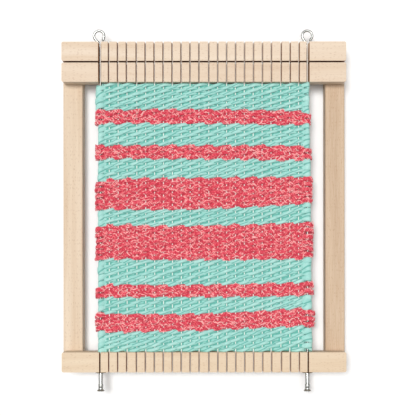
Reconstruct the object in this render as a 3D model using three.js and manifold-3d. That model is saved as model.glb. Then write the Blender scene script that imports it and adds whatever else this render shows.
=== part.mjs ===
// A hand-weaving frame loom lying on its back, with a finished striped weaving still on it.
// Millimetres. +Z is up, out of the front of the loom, and +Y runs to the end with the rod eyes.
// The origin is on the table, under the middle of the whole loom.
import * as THREE from "three";
import { mergeVertices } from "three/addons/utils/BufferGeometryUtils.js";
import Module from "manifold-3d";

const wasm = await Module();
wasm.setup();

// Timber frame
const BAR_LENGTH = 251.4;
const FRAME_HEIGHT = 292;
const BAR_DEPTH = 18;
const UPRIGHT_DEPTH = 18;
const UPRIGHT_WIDTH = 17.5;
const UPRIGHT_PROUD = 0.7;
const TOP_BAR_HEIGHT = 17;
const BOTTOM_BAR_HEIGHT = 17.6;
const TOP_BAR_GAP = 1.5;
const BAR_CORNER_RADIUS = 1.6;
const UPRIGHT_EDGE_RADIUS = 1.2;
const CORNER_SEGMENTS = 4;

// Warp slots, sawn by a gang of eight blades at a time
const SLOT_COUNT = 24;
const SLOT_PITCH = 7.9;
const GANG_BLADES = 8;
const GANG_MISMATCH = 0.77;
const SLOT_WIDTH = 1.4;
const SLOT_DEPTH = 8;

// Cotton warp
const WARP_DIAMETER = 0.8;
const WARP_CLEARANCE = 0.3;
const WARP_BEND_RADIUS = 1;
const WARP_TAIL = 3;
const WARP_SIDES = 8;

// Steel edge rods
const ROD_DIAMETER = 2.2;
const ROD_CLEARANCE = 0.3;
const ROD_BELOW_FRAME = 11;
const EYE_OUTER_DIAMETER = 11.4;
const EYE_PROTRUSION = 12.4;
const EYE_NECK_RISE = 0.3;
const EYE_WELD = 1.2;
const LEFT_EYE_LEAN = 1.3;
const EYE_SEGMENTS = 16;
const ROD_SIDES = 10;

// Rod sockets under the bottom bar: a threaded insert and the screwed sleeve that it holds
const SLEEVE_WALL = 0.55;
const SLEEVE_ENGAGEMENT = 8;
const SLEEVE_PROTRUSION = 18.1;
const SLEEVE_BORE_END = 0.5;
const COLLAR_LENGTH = 3.6;
const COLLAR_STEP = 0.15;
const HEAD_DIAMETER = 6.8;
const HEAD_FLARE = 2.2;
const HEAD_RIM = 0.3;
const HEAD_DOME = 0.7;
const DOME_SHOULDER = { radius: 0.6, rise: 0.25 };
const FLARE_WAIST = { radius: 0.3, rise: 0.45 };
const SCREW_CLEARANCE = 0.3;
const INSERT_WALL = 0.95;
const INSERT_OVERRUN = 0.5;
const FLANGE_DIAMETER = 9.3;
const FLANGE_THICKNESS = 1.4;
const TURNED_SIDES = 24;

// Countersunk wood screws, driven from the back at each crossing
const SCREW_SHANK_DIAMETER = 3.5;
const SCREW_HEAD_DIAMETER = 7;
const SCREW_HEAD_HEIGHT = 2.4;
const SCREW_LENGTH = 30;
const SCREW_TIP = 3;
const SCREW_SINK = 0.4;
const RECESS_WIDTH = 0.9;
const RECESS_LENGTH = 3.6;
const RECESS_DEPTH = 1.6;
const SCREW_SIDES = 16;

// Weft, one band for each stripe from the rod eyes down, as [yarn, relative height]
const WEFT_BANDS = [
  ["teal", 23.9],
  ["coral", 12],
  ["teal", 19.3],
  ["coral", 12.3],
  ["teal", 16.6],
  ["coral", 25.7],
  ["teal", 15.2],
  ["coral", 31.1],
  ["teal", 21.9],
  ["coral", 11.4],
  ["teal", 13.3],
  ["coral", 15.6],
  ["teal", 19.6],
];
const WEFT_DIAMETER = 2.4;
const WEFT_BEYOND_ROD = 3.7;
const WEFT_TO_BAR_GAP = 0.5;
const WEFT_BAND_GAP = 0.3;
const SELVEDGE_ROLL = 6;
const SELVEDGE_SLOPE = 4;

// How far a cutting tool runs past the face that it cuts through
const CUT_OVERSHOOT = 1;

// Places worked out from the sizes above
const FRAME_TOP = FRAME_HEIGHT / 2;
const FRAME_BOTTOM = -FRAME_HEIGHT / 2;
const BAR_BACK_Z = UPRIGHT_DEPTH;
const BAR_FRONT_Z = UPRIGHT_DEPTH + BAR_DEPTH;
const SLOT_FLOOR_Z = BAR_FRONT_Z - SLOT_DEPTH;
const WARP_RADIUS = WARP_DIAMETER / 2;
const WARP_Z = SLOT_FLOOR_Z + WARP_CLEARANCE + WARP_RADIUS;
const ROD_RADIUS = ROD_DIAMETER / 2;
const ROD_BORE_RADIUS = ROD_RADIUS + ROD_CLEARANCE;
const ROD_Z = WARP_Z - WARP_RADIUS - ROD_CLEARANCE - ROD_RADIUS;
const ROD_X = slotX(SLOT_COUNT - 1);
const SLEEVE_RADIUS = ROD_BORE_RADIUS + SLEEVE_WALL;
const INSERT_BORE_RADIUS = SLEEVE_RADIUS + SCREW_CLEARANCE;
const INSERT_RADIUS = INSERT_BORE_RADIUS + INSERT_WALL;
const SLEEVE_TOP = FRAME_BOTTOM + SLEEVE_ENGAGEMENT;
const INSERT_TOP = SLEEVE_TOP + INSERT_OVERRUN;
const SCREW_X = BAR_LENGTH / 2 + UPRIGHT_PROUD - UPRIGHT_WIDTH / 2;
const WEAVING_TOP = FRAME_TOP - 2 * TOP_BAR_HEIGHT - TOP_BAR_GAP;
const WEAVING_BOTTOM = FRAME_BOTTOM + BOTTOM_BAR_HEIGHT;

const BARS = [
  { name: "upper_top_bar", bottom: FRAME_TOP - TOP_BAR_HEIGHT, height: TOP_BAR_HEIGHT, openRodSlots: true },
  { name: "lower_top_bar", bottom: WEAVING_TOP, height: TOP_BAR_HEIGHT, openRodSlots: true },
  { name: "bottom_bar", bottom: FRAME_BOTTOM, height: BOTTOM_BAR_HEIGHT, openRodSlots: false },
];

// The eyes are bent by hand: the left one leans outwards.
const SIDES = [
  { name: "left", sign: -1, eyeLean: -LEFT_EYE_LEAN },
  { name: "right", sign: 1, eyeLean: 0 },
];

const MATERIALS = {
  wood: new THREE.MeshStandardMaterial({ color: 0xe8d3b6, roughness: 0.6, metalness: 0 }),
  cotton: new THREE.MeshStandardMaterial({ color: 0xf2efe8, roughness: 0.9, metalness: 0 }),
  steel: new THREE.MeshStandardMaterial({ color: 0xc9cbcc, roughness: 0.2, metalness: 1 }),
  dark_steel: new THREE.MeshStandardMaterial({ color: 0x4a4744, roughness: 0.5, metalness: 1 }),
  screw_steel: new THREE.MeshStandardMaterial({ color: 0xb9b6a8, roughness: 0.35, metalness: 1 }),
  teal: new THREE.MeshStandardMaterial({ color: 0x95cac0, roughness: 0.9, metalness: 0 }),
  coral: new THREE.MeshStandardMaterial({ color: 0xd9717a, roughness: 0.95, metalness: 0 }),
};

// The gangs are lined up by eye, so the pitch grows a little from one gang to the next.
function slotX(index) {
  const middle = (SLOT_COUNT - 1) / 2;
  const gang = Math.floor((index + GANG_BLADES / 2) / GANG_BLADES);
  const middleGang = SLOT_COUNT / GANG_BLADES / 2;
  return (index - middle) * SLOT_PITCH + (gang - middleGang) * GANG_MISMATCH;
}

function toManifold(geometry) {
  const bare = geometry.index ? geometry.toNonIndexed() : geometry.clone();
  bare.deleteAttribute("normal");
  bare.deleteAttribute("uv");
  const merged = mergeVertices(bare, 1e-4);
  return new wasm.Manifold(
    new wasm.Mesh({
      numProp: 3,
      vertProperties: new Float32Array(merged.attributes.position.array),
      triVerts: new Uint32Array(merged.index.array),
    }),
  );
}

function toGeometry(solid) {
  const result = solid.getMesh();
  const geometry = new THREE.BufferGeometry();
  const positions = new THREE.Float32BufferAttribute(result.vertProperties, 3);
  geometry.setAttribute("position", positions);
  geometry.setIndex(new THREE.Uint32BufferAttribute(result.triVerts, 1));
  return geometry;
}

function cut(geometry, tools) {
  return toGeometry(tools.reduce((solid, tool) => solid.subtract(toManifold(tool)), toManifold(geometry)));
}

// Extrudes an outline drawn in X and Z along Y, from bottom up.
function extrudeAlongY(outline, bottom, height) {
  const geometry = new THREE.ExtrudeGeometry(outline, {
    depth: height,
    bevelEnabled: false,
    curveSegments: CORNER_SEGMENTS,
  });
  return geometry.rotateX(Math.PI / 2).translate(0, bottom + height, 0);
}

function extrudeAlongZ(outline, back, depth) {
  const geometry = new THREE.ExtrudeGeometry(outline, {
    depth,
    bevelEnabled: false,
    curveSegments: CORNER_SEGMENTS,
  });
  return geometry.translate(0, 0, back);
}

function roundedRectangle(left, right, low, high, radius) {
  const shape = new THREE.Shape();
  shape.moveTo(left + radius, low);
  shape.absarc(right - radius, low + radius, radius, -Math.PI / 2, 0);
  shape.absarc(right - radius, high - radius, radius, 0, Math.PI / 2);
  shape.absarc(left + radius, high - radius, radius, Math.PI / 2, Math.PI);
  shape.absarc(left + radius, low + radius, radius, Math.PI, 1.5 * Math.PI);
  shape.closePath();
  return shape;
}

function rodAlongY(radius, bottom, top, x, sides) {
  return new THREE.CylinderGeometry(radius, radius, top - bottom, sides)
    .translate(x, (bottom + top) / 2, ROD_Z);
}

// A path whose steps fall on the chosen points, so long straight runs take no extra steps.
class PathThrough extends THREE.Curve {
  constructor(points) {
    super();
    this.points = points;
  }

  getPoint(t) {
    const place = t * (this.points.length - 1);
    const index = Math.min(Math.max(Math.floor(place), 0), this.points.length - 2);
    return this.points[index].clone().lerp(this.points[index + 1], place - index);
  }

  getUtoTmapping(u) {
    return u;
  }
}

function wireThrough(points, radius, sides) {
  const section = new THREE.Shape();
  section.absarc(0, 0, radius, 0, 2 * Math.PI);
  return new THREE.ExtrudeGeometry(section, {
    steps: points.length - 1,
    curveSegments: sides / 2,
    extrudePath: new PathThrough(points),
  });
}

// A bar's section with its slots open to the front. The outermost slots are the rods' slots.
function combOutline(openRodSlots) {
  const half = BAR_LENGTH / 2;
  const shape = new THREE.Shape();
  shape.moveTo(-half, BAR_BACK_Z);
  shape.lineTo(half, BAR_BACK_Z);
  shape.lineTo(half, BAR_FRONT_Z);
  for (let index = SLOT_COUNT - 1; index >= 0; index -= 1) {
    const outermost = index === 0 || index === SLOT_COUNT - 1;
    const width = outermost && openRodSlots ? 2 * ROD_BORE_RADIUS : SLOT_WIDTH;
    const rodFloor = openRodSlots ? ROD_Z - ROD_BORE_RADIUS : ROD_Z;
    const floor = outermost ? rodFloor : SLOT_FLOOR_Z;
    const x = slotX(index);
    shape.lineTo(x + width / 2, BAR_FRONT_Z);
    shape.lineTo(x + width / 2, floor);
    shape.lineTo(x - width / 2, floor);
    shape.lineTo(x - width / 2, BAR_FRONT_Z);
  }
  shape.lineTo(-half, BAR_FRONT_Z);
  shape.closePath();
  return shape;
}

function screwProfile(grow) {
  const head = SCREW_HEAD_DIAMETER / 2 + grow;
  const shank = SCREW_SHANK_DIAMETER / 2 + grow;
  const end = SCREW_SINK + SCREW_LENGTH + grow;
  return [
    new THREE.Vector2(0, SCREW_SINK),
    new THREE.Vector2(head, SCREW_SINK),
    new THREE.Vector2(shank, SCREW_SINK + SCREW_HEAD_HEIGHT),
    new THREE.Vector2(shank, end - SCREW_TIP),
    new THREE.Vector2(0, end),
  ];
}

function turned(profile, sides) {
  return new THREE.LatheGeometry(profile, sides);
}

// Screws point to +Z, so the profile's own +Y is turned up.
function screwTurned(grow, x, y) {
  return turned(screwProfile(grow), SCREW_SIDES).rotateX(Math.PI / 2).translate(x, y, 0);
}

function screwHole(x, y) {
  const mouth = new THREE.CylinderGeometry(
    SCREW_HEAD_DIAMETER / 2 + SCREW_CLEARANCE,
    SCREW_HEAD_DIAMETER / 2 + SCREW_CLEARANCE,
    2 * SCREW_SINK + SCREW_CLEARANCE,
    SCREW_SIDES,
  );
  mouth.rotateX(Math.PI / 2).translate(x, y, SCREW_CLEARANCE / 2);
  return [mouth, screwTurned(SCREW_CLEARANCE, x, y)];
}

function barCentre(bar) {
  return bar.bottom + bar.height / 2;
}

function barGeometry(bar) {
  const half = BAR_LENGTH / 2;
  const face = roundedRectangle(-half, half, bar.bottom, bar.bottom + bar.height, BAR_CORNER_RADIUS);
  const comb = toManifold(extrudeAlongY(combOutline(bar.openRodSlots), bar.bottom, bar.height));
  const rounded = comb.intersect(toManifold(extrudeAlongZ(face, BAR_BACK_Z, BAR_DEPTH)));
  const tools = SIDES.flatMap(({ sign }) => screwHole(sign * SCREW_X, barCentre(bar)));
  return cut(toGeometry(rounded), bar.openRodSlots ? tools : [...tools, ...socketBores(bar)]);
}

// The rod's hole through the bottom bar, and the wider bore for the insert at its lower end.
function socketBores(bar) {
  return SIDES.flatMap(({ sign }) => [
    rodAlongY(
      ROD_BORE_RADIUS,
      bar.bottom - CUT_OVERSHOOT,
      bar.bottom + bar.height + CUT_OVERSHOOT,
      sign * ROD_X,
      ROD_SIDES,
    ),
    rodAlongY(
      INSERT_RADIUS + SCREW_CLEARANCE,
      bar.bottom - CUT_OVERSHOOT,
      INSERT_TOP + SCREW_CLEARANCE,
      sign * ROD_X,
      TURNED_SIDES,
    ),
  ]);
}

function uprightGeometry(sign) {
  const section = roundedRectangle(
    sign * SCREW_X - UPRIGHT_WIDTH / 2,
    sign * SCREW_X + UPRIGHT_WIDTH / 2,
    0,
    UPRIGHT_DEPTH,
    UPRIGHT_EDGE_RADIUS,
  );
  const blank = extrudeAlongY(section, FRAME_BOTTOM, FRAME_HEIGHT);
  return cut(blank, BARS.flatMap((bar) => screwHole(sign * SCREW_X, barCentre(bar))));
}

function screwGeometry(x, y) {
  const recesses = [RECESS_WIDTH, RECESS_LENGTH].map((width) =>
    new THREE.BoxGeometry(width, RECESS_WIDTH + RECESS_LENGTH - width, 2 * RECESS_DEPTH)
      .translate(x, y, SCREW_SINK),
  );
  return cut(screwTurned(0, x, y), recesses);
}

function eyePoints(x, lean) {
  const radius = (EYE_OUTER_DIAMETER - ROD_DIAMETER) / 2;
  const neckY = FRAME_TOP + EYE_NECK_RISE;
  const centreY = FRAME_TOP + EYE_PROTRUSION - EYE_OUTER_DIAMETER / 2;
  const halfAngle = Math.asin(radius / (centreY - neckY));
  const points = [new THREE.Vector3(x, neckY, ROD_Z)];
  for (let step = 0; step <= EYE_SEGMENTS; step += 1) {
    const angle = Math.PI + halfAngle - (step / EYE_SEGMENTS) * (Math.PI + 2 * halfAngle);
    points.push(
      new THREE.Vector3(
        x + lean + radius * Math.cos(angle),
        centreY + radius * Math.sin(angle),
        ROD_Z,
      ),
    );
  }
  points.push(new THREE.Vector3(x, neckY, ROD_Z));
  return points;
}

function edgeRodGeometry(sign, eyeLean) {
  const x = sign * ROD_X;
  const weldY = FRAME_TOP + EYE_NECK_RISE + EYE_WELD;
  const shank = toManifold(rodAlongY(ROD_RADIUS, FRAME_BOTTOM - ROD_BELOW_FRAME, weldY, x, ROD_SIDES));
  const points = eyePoints(x, eyeLean);
  const middle = Math.ceil(points.length / 2);
  const halves = [points.slice(0, middle + 1), points.slice(middle - 1)];
  const wires = halves.map((half) => toManifold(wireThrough(half, ROD_RADIUS, ROD_SIDES)));
  return toGeometry(wires.reduce((solid, wire) => solid.add(wire), shank));
}

function sleeveGeometry(sign) {
  const bottom = FRAME_BOTTOM - SLEEVE_PROTRUSION;
  const headRadius = HEAD_DIAMETER / 2;
  const rimBottom = bottom + HEAD_DOME;
  const flareBottom = rimBottom + HEAD_RIM;
  const flareTop = flareBottom + HEAD_FLARE;
  const boreBottom = FRAME_BOTTOM - ROD_BELOW_FRAME - SLEEVE_BORE_END;
  const profile = [
    [0, bottom],
    [headRadius * DOME_SHOULDER.radius, bottom + HEAD_DOME * DOME_SHOULDER.rise],
    [headRadius, rimBottom],
    [headRadius, flareBottom],
    [
      SLEEVE_RADIUS + (headRadius - SLEEVE_RADIUS) * FLARE_WAIST.radius,
      flareBottom + HEAD_FLARE * FLARE_WAIST.rise,
    ],
    [SLEEVE_RADIUS + COLLAR_STEP, flareTop],
    [SLEEVE_RADIUS + COLLAR_STEP, flareTop + COLLAR_LENGTH],
    [SLEEVE_RADIUS, flareTop + COLLAR_LENGTH + COLLAR_STEP],
    [SLEEVE_RADIUS, SLEEVE_TOP],
    [ROD_BORE_RADIUS, SLEEVE_TOP],
    [ROD_BORE_RADIUS, boreBottom],
    [0, boreBottom],
  ].map(([radius, y]) => new THREE.Vector2(radius, y));
  return turned(profile, TURNED_SIDES).translate(sign * ROD_X, 0, ROD_Z);
}

function insertGeometry(sign) {
  const profile = [
    [INSERT_BORE_RADIUS, FRAME_BOTTOM - FLANGE_THICKNESS],
    [FLANGE_DIAMETER / 2, FRAME_BOTTOM - FLANGE_THICKNESS],
    [FLANGE_DIAMETER / 2, FRAME_BOTTOM],
    [INSERT_RADIUS, FRAME_BOTTOM],
    [INSERT_RADIUS, INSERT_TOP],
    [INSERT_BORE_RADIUS, INSERT_TOP],
    [INSERT_BORE_RADIUS, FRAME_BOTTOM - FLANGE_THICKNESS],
  ].map(([radius, y]) => new THREE.Vector2(radius, y));
  return turned(profile, TURNED_SIDES).translate(sign * ROD_X, 0, ROD_Z);
}

// The corner of a loop from a vertical run at x to the horizontal run at crossY.
// towards is +1 where the loop goes on to +X, and outwards is +1 over the top bar, -1 under the bottom bar.
function loopCorner(x, crossY, towards, outwards) {
  const radius = WARP_BEND_RADIUS;
  return [0, 0.5, 1].map((share) => {
    const angle = (share * Math.PI) / 2;
    const dx = radius * (1 - Math.cos(angle));
    const dy = radius * (1 - Math.sin(angle));
    return new THREE.Vector3(x + towards * dx, crossY - outwards * dy, WARP_Z);
  });
}

// One thread, up the even slots and down the odd ones, round the teeth of the outer bars.
function warpPoints() {
  const reach = WARP_CLEARANCE + WARP_RADIUS;
  const tailY = WEAVING_BOTTOM + WARP_TAIL;
  const points = [new THREE.Vector3(slotX(0), tailY, WARP_Z)];
  for (let index = 0; index < SLOT_COUNT - 1; index += 1) {
    const outwards = index % 2 === 0 ? 1 : -1;
    const crossY = outwards * (FRAME_TOP + reach);
    points.push(...loopCorner(slotX(index), crossY, 1, outwards));
    points.push(...loopCorner(slotX(index + 1), crossY, -1, outwards).reverse());
  }
  points.push(new THREE.Vector3(slotX(SLOT_COUNT - 1), tailY, WARP_Z));
  return points;
}

function warpGeometry() {
  return wireThrough(warpPoints(), WARP_RADIUS, WARP_SIDES);
}

// The section of the cloth: flat over the warp, and thicker at the back where the weft turns round a rod.
function weftOutline() {
  const half = ROD_X + WEFT_BEYOND_ROD;
  const front = WARP_Z + WARP_RADIUS + WEFT_DIAMETER;
  const back = WARP_Z - WARP_RADIUS - WEFT_DIAMETER;
  const rollBack = ROD_Z - ROD_RADIUS - WEFT_DIAMETER;
  const radius = WEFT_DIAMETER;
  const roll = half - SELVEDGE_ROLL;
  const shape = new THREE.Shape();
  shape.moveTo(-roll, rollBack);
  shape.lineTo(-roll + SELVEDGE_SLOPE, back);
  shape.lineTo(roll - SELVEDGE_SLOPE, back);
  shape.lineTo(roll, rollBack);
  shape.absarc(half - radius, rollBack + radius, radius, -Math.PI / 2, 0);
  shape.absarc(half - radius, front - radius, radius, 0, Math.PI / 2);
  shape.absarc(radius - half, front - radius, radius, Math.PI / 2, Math.PI);
  shape.absarc(radius - half, rollBack + radius, radius, Math.PI, 1.5 * Math.PI);
  shape.closePath();
  shape.holes.push(weftChannel());
  return shape;
}

// The flat channel that the warp runs through, with a deeper pocket for the rod at each end.
function weftChannel() {
  const outer = ROD_X + ROD_BORE_RADIUS;
  const inner = ROD_X - ROD_BORE_RADIUS;
  const high = WARP_Z + WARP_RADIUS + WARP_CLEARANCE;
  const low = WARP_Z - WARP_RADIUS - WARP_CLEARANCE;
  const deep = ROD_Z - ROD_BORE_RADIUS;
  const channel = new THREE.Path();
  channel.moveTo(-outer, deep);
  channel.lineTo(-outer, high);
  channel.lineTo(outer, high);
  channel.lineTo(outer, deep);
  channel.lineTo(inner, deep);
  channel.lineTo(inner, low);
  channel.lineTo(-inner, low);
  channel.lineTo(-inner, deep);
  channel.closePath();
  return channel;
}

function addMesh(group, name, geometry, material) {
  const mesh = new THREE.Mesh(geometry, material);
  mesh.name = name;
  group.add(mesh);
}

function addFrame(group) {
  SIDES.forEach(({ name, sign }) => addMesh(group, `${name}_upright`, uprightGeometry(sign), MATERIALS.wood));
  BARS.forEach((bar) => {
    addMesh(group, bar.name, barGeometry(bar), MATERIALS.wood);
    SIDES.forEach(({ name, sign }) => {
      const screw = screwGeometry(sign * SCREW_X, barCentre(bar));
      addMesh(group, `${bar.name}_${name}_screw`, screw, MATERIALS.screw_steel);
    });
  });
}

function addRods(group) {
  SIDES.forEach(({ name, sign, eyeLean }) => {
    addMesh(group, `${name}_edge_rod`, edgeRodGeometry(sign, eyeLean), MATERIALS.steel);
    addMesh(group, `${name}_rod_sleeve`, sleeveGeometry(sign), MATERIALS.steel);
    addMesh(group, `${name}_sleeve_insert`, insertGeometry(sign), MATERIALS.dark_steel);
  });
}

function addWeaving(group) {
  addMesh(group, "warp_thread", warpGeometry(), MATERIALS.cotton);
  const outline = weftOutline();
  const total = WEFT_BANDS.reduce((sum, [, height]) => sum + height, 0);
  const scale = (WEAVING_TOP - WEAVING_BOTTOM - 2 * WEFT_TO_BAR_GAP) / total;
  let top = WEAVING_TOP - WEFT_TO_BAR_GAP;
  WEFT_BANDS.forEach(([yarn, height], index) => {
    const bottom = top - height * scale;
    const number = String(index + 1).padStart(2, "0");
    const band = extrudeAlongY(outline, bottom, top - bottom - WEFT_BAND_GAP);
    addMesh(group, `weft_${number}_${yarn}`, band, MATERIALS[yarn]);
    top = bottom;
  });
}

const loom = new THREE.Group();
addFrame(loom);
addRods(loom);
addWeaving(loom);
// The sleeves reach further than the eyes, so the frame sits a little towards the eyes.
loom.position.y = (SLEEVE_PROTRUSION - EYE_PROTRUSION) / 2;

export default loom;
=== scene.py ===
import math

import bpy
import numpy as np
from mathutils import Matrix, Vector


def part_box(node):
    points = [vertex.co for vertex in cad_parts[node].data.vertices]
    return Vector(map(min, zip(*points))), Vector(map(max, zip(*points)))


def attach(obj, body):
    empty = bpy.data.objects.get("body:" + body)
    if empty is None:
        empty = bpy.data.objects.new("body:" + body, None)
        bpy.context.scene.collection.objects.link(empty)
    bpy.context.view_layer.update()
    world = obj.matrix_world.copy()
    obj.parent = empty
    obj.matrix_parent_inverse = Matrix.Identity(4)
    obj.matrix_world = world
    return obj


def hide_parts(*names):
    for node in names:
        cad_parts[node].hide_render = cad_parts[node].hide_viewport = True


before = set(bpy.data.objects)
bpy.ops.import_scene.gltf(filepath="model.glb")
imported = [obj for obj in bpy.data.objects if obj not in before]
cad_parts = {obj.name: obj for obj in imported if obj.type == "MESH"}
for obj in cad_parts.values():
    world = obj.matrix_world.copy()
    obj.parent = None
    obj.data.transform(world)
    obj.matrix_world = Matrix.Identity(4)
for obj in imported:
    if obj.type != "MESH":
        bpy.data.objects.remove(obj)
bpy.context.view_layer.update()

MM = 0.001

# Warp slots, sawn by a gang of eight blades at a time
SLOT_COUNT = 24
SLOT_PITCH = 7.9
GANG_BLADES = 8
GANG_MISMATCH = 0.77

# Cotton warp thread, a little softer and thicker than the frame's own one
FRAME_THREAD_RADIUS = 0.4
THREAD_RADIUS = 0.48
THREAD_BEND = 1.0
THREAD_TAIL = 3.0
THREAD_SIDES = 8

# Edge rods: a straight shank, a round eye and the wire's end beside the neck
ROD_RADIUS = 1.1
ROD_SIDES = 20
ROD_END_EASE = 0.7
SHANK_POINTS = 60
WIRE_STEP = 0.35
WIRE_EASING = 14
EYE_RADIUS = 4.6
EYE_TO_NECK = 6.4
NECK_LENGTH = 1.4
WIRE_END = (1.9, 1.6)

# Rod sleeves: a bored pin with a domed, flared head and a knurled collar above the head
PIN_RADIUS = 1.95
PIN_SIDES = 72
HEAD_DOME = 0.7
HEAD_RIM = 1.0
HEAD_FLARE = 2.2
COLLAR_LENGTH = 3.6
COLLAR_STEP = 0.15
COLLAR_SEAT = 0.14
COLLAR_SIDES = 160
COLLAR_FLUTE = 0.04
BORE_RADIUS = 1.42
BORE_MOUTH = 1.5
BORE_END = 6.6

# Sleeve inserts: a barrel in the bottom bar, and a flange with a raised lip under it
BARREL_BORE = 2.27
BARREL_RADIUS = 3.2
LIP_INNER = 2.9
LIP_OUTER = 3.1
LIP_HEIGHT = 0.12
INSERT_SIDES = 64

# Weft, whatever its yarn
ROW_POINTS = 420
WEFT_HALF_DEPTH = 1.2
WEFT_BITE = 0.06
TURN_REACH = 2.4
TURN_PLAY = 0.35
START_POINTS = 14

# Teal yarn, a smooth two-ply
TEAL_ROW = 2.7
TEAL_HALF_WIDTH = 1.74
TEAL_SWAY = 0.6
TEAL_TWIST_LENGTH = 30.0
TEAL_LOBES = 0.14
TEAL_SIDES = 14
TEAL_STEP = 0.9

# Coral yarn, a curly loop yarn of fine strands round a core
CORAL_ROW = 2.6
CORAL_STRANDS = 6
CORAL_CORE = 1.0
CORE_SIDES = 8
# Painted shade: the core lies deep among the strands and so gets a low tone, a deep red.
CORE_SHADE_TONE = 0.22
CORAL_STRAND = 0.42
CORAL_LIFT = 1.05
CORAL_SWAY = 0.25
CORAL_STEP = 0.7
CORAL_SIDES = 4

# The cloth's packed inside, a sheet between the yarns, in painted shade
GROUND_COLUMNS = 49
GROUND_ROWS = 240
GROUND_INSET = 2.2
GROUND_MARGIN = 0.15
GROUND_DROP = 0.3

# Light from the room on the table and the loom, in the steel, and as the camera's backdrop
WALL_LIGHT = 0.3
CEILING_LIGHT = 0.26
STEEL_LIGHT = 0.62
BACKDROP_LIGHT = 1.04

# How far each seam between stripes wanders from straight at the left edge, the middle and the right edge,
# from the rod eyes down.
SEAM_DRIFT = [
    (0.0, 0.0, 0.0),
    (0.2, 0.9, -1.2),
    (0.5, 0.3, -0.9),
    (0.1, 0.2, -0.3),
    (0.7, 0.5, -1.2),
    (-1.0, 0.3, 0.8),
    (-1.7, -1.7, 3.4),
    (-0.5, -1.3, 1.7),
    (0.4, -0.4, 0.4),
    (-0.5, -0.9, 1.5),
    (-0.3, -0.3, 0.6),
    (-1.8, -1.8, 3.7),
    (-2.7, -0.7, 3.3),
    (0.0, 0.0, 0.0),
]


def box_mm(node):
    """Lowest and highest corner of a frame part, in millimetres."""
    low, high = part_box(node)
    return np.array(low) / MM, np.array(high) / MM


def slot_x(index):
    gang = (index + GANG_BLADES // 2) // GANG_BLADES
    return (index - (SLOT_COUNT - 1) / 2) * SLOT_PITCH + (gang - 1.5) * GANG_MISMATCH


SLOTS = np.array([slot_x(index) for index in range(SLOT_COUNT)])
THREAD_LOW, THREAD_HIGH = box_mm("warp_thread")
WARP_Z = (THREAD_LOW[2] + THREAD_HIGH[2]) / 2
SLOTS_END = SLOTS[-1] + 4
ROD_LOW, ROD_HIGH = box_mm("right_edge_rod")
ROD_X = (ROD_LOW[0] + ROD_HIGH[0]) / 2
ROD_Z = (ROD_LOW[2] + ROD_HIGH[2]) / 2
STRIPES = sorted(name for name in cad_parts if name.startswith("weft_"))
STRIPE_BOXES = [box_mm(name) for name in STRIPES]


def smooth_step(share):
    share = np.clip(share, 0, 1)
    return share * share * (3 - 2 * share)


def wander(chance, count, spacing):
    """A smooth random run of count values, about -1 to 1, with a new turn every `spacing` values."""
    knots = max(4, int(count / spacing) + 4)
    values = chance.uniform(-1, 1, knots)
    at = np.arange(count) / spacing
    low = np.clip(at.astype(int), 0, knots - 2)
    share = smooth_step(at - low)
    return values[low] * (1 - share) + values[low + 1] * share


# ---------------------------------------------------------------- tubes and turned pieces


def directions(points):
    steps = np.gradient(points, axis=0)
    return steps / np.maximum(np.linalg.norm(steps, axis=1, keepdims=True), 1e-9)


def lengths_along(points):
    steps = np.linalg.norm(np.diff(points, axis=0), axis=1)
    return np.concatenate([[0], np.cumsum(steps)])


def square_to(points, guide):
    """Two directions across a line at each point, the first one leaning to the guide."""
    along = directions(points)
    first = np.array(guide, float) - along * (along @ np.array(guide, float))[:, None]
    first /= np.maximum(np.linalg.norm(first, axis=1, keepdims=True), 1e-9)
    return first, np.cross(along, first)


def carried_across(points):
    """Two directions across a curly line, carried along it so that the tube doesn't wring."""
    along = directions(points)
    first = np.empty_like(points)
    carried = np.cross(along[0], (0.31, 0.77, 0.55))
    for index, forward in enumerate(along):
        carried = carried - forward * (carried @ forward)
        carried = carried / math.sqrt(carried @ carried)
        first[index] = carried
    return first, np.cross(along, first)


def tube(points, across, half_width, half_depth, sides, turn=0.0, lobes=0.0, tone=0.5):
    """A tube's rings. turn is the twist in radians at each point, and lobes how deep two plies show."""
    count = len(points)
    angle = 2 * math.pi * np.arange(sides) / sides
    girth = 1 + lobes * np.cos(2 * angle)
    spun = angle[None, :] + np.broadcast_to(turn, count)[:, None]
    width = np.broadcast_to(half_width, count)[:, None] * girth * np.cos(spun)
    depth = np.broadcast_to(half_depth, count)[:, None] * girth * np.sin(spun)
    first, second = across
    rings = points[:, None, :] + width[..., None] * first[:, None, :] + depth[..., None] * second[:, None, :]
    reach = np.broadcast_to(half_width, count)[:, None] * girth
    straight = np.stack(
        [
            np.repeat(lengths_along(points)[:, None], sides, 1),
            reach * np.cos(angle),
            reach * np.sin(angle),
        ],
        axis=2,
    )
    tones = np.repeat(np.broadcast_to(tone, count)[:, None], sides, 1)
    return {"rings": rings, "straight": straight, "tone": tones}


def strip_layout(tubes):
    """Rings in each strip of the unrolled yarn, and the number of strips, for a sheet of even scale."""
    total = sum(len(one["rings"]) - 1 for one in tubes)
    sample = tubes[0]["rings"]
    ring = sample[len(sample) // 2]
    around = np.linalg.norm(ring - np.roll(ring, 1, 0), axis=1).sum()
    step = np.linalg.norm(np.diff(sample.mean(1), axis=0), axis=1).mean()
    per_strip = max(8, int(math.sqrt(total * around / step)))
    strips = sum(math.ceil((len(one["rings"]) - 1) / per_strip) for one in tubes)
    return per_strip, strips


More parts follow.
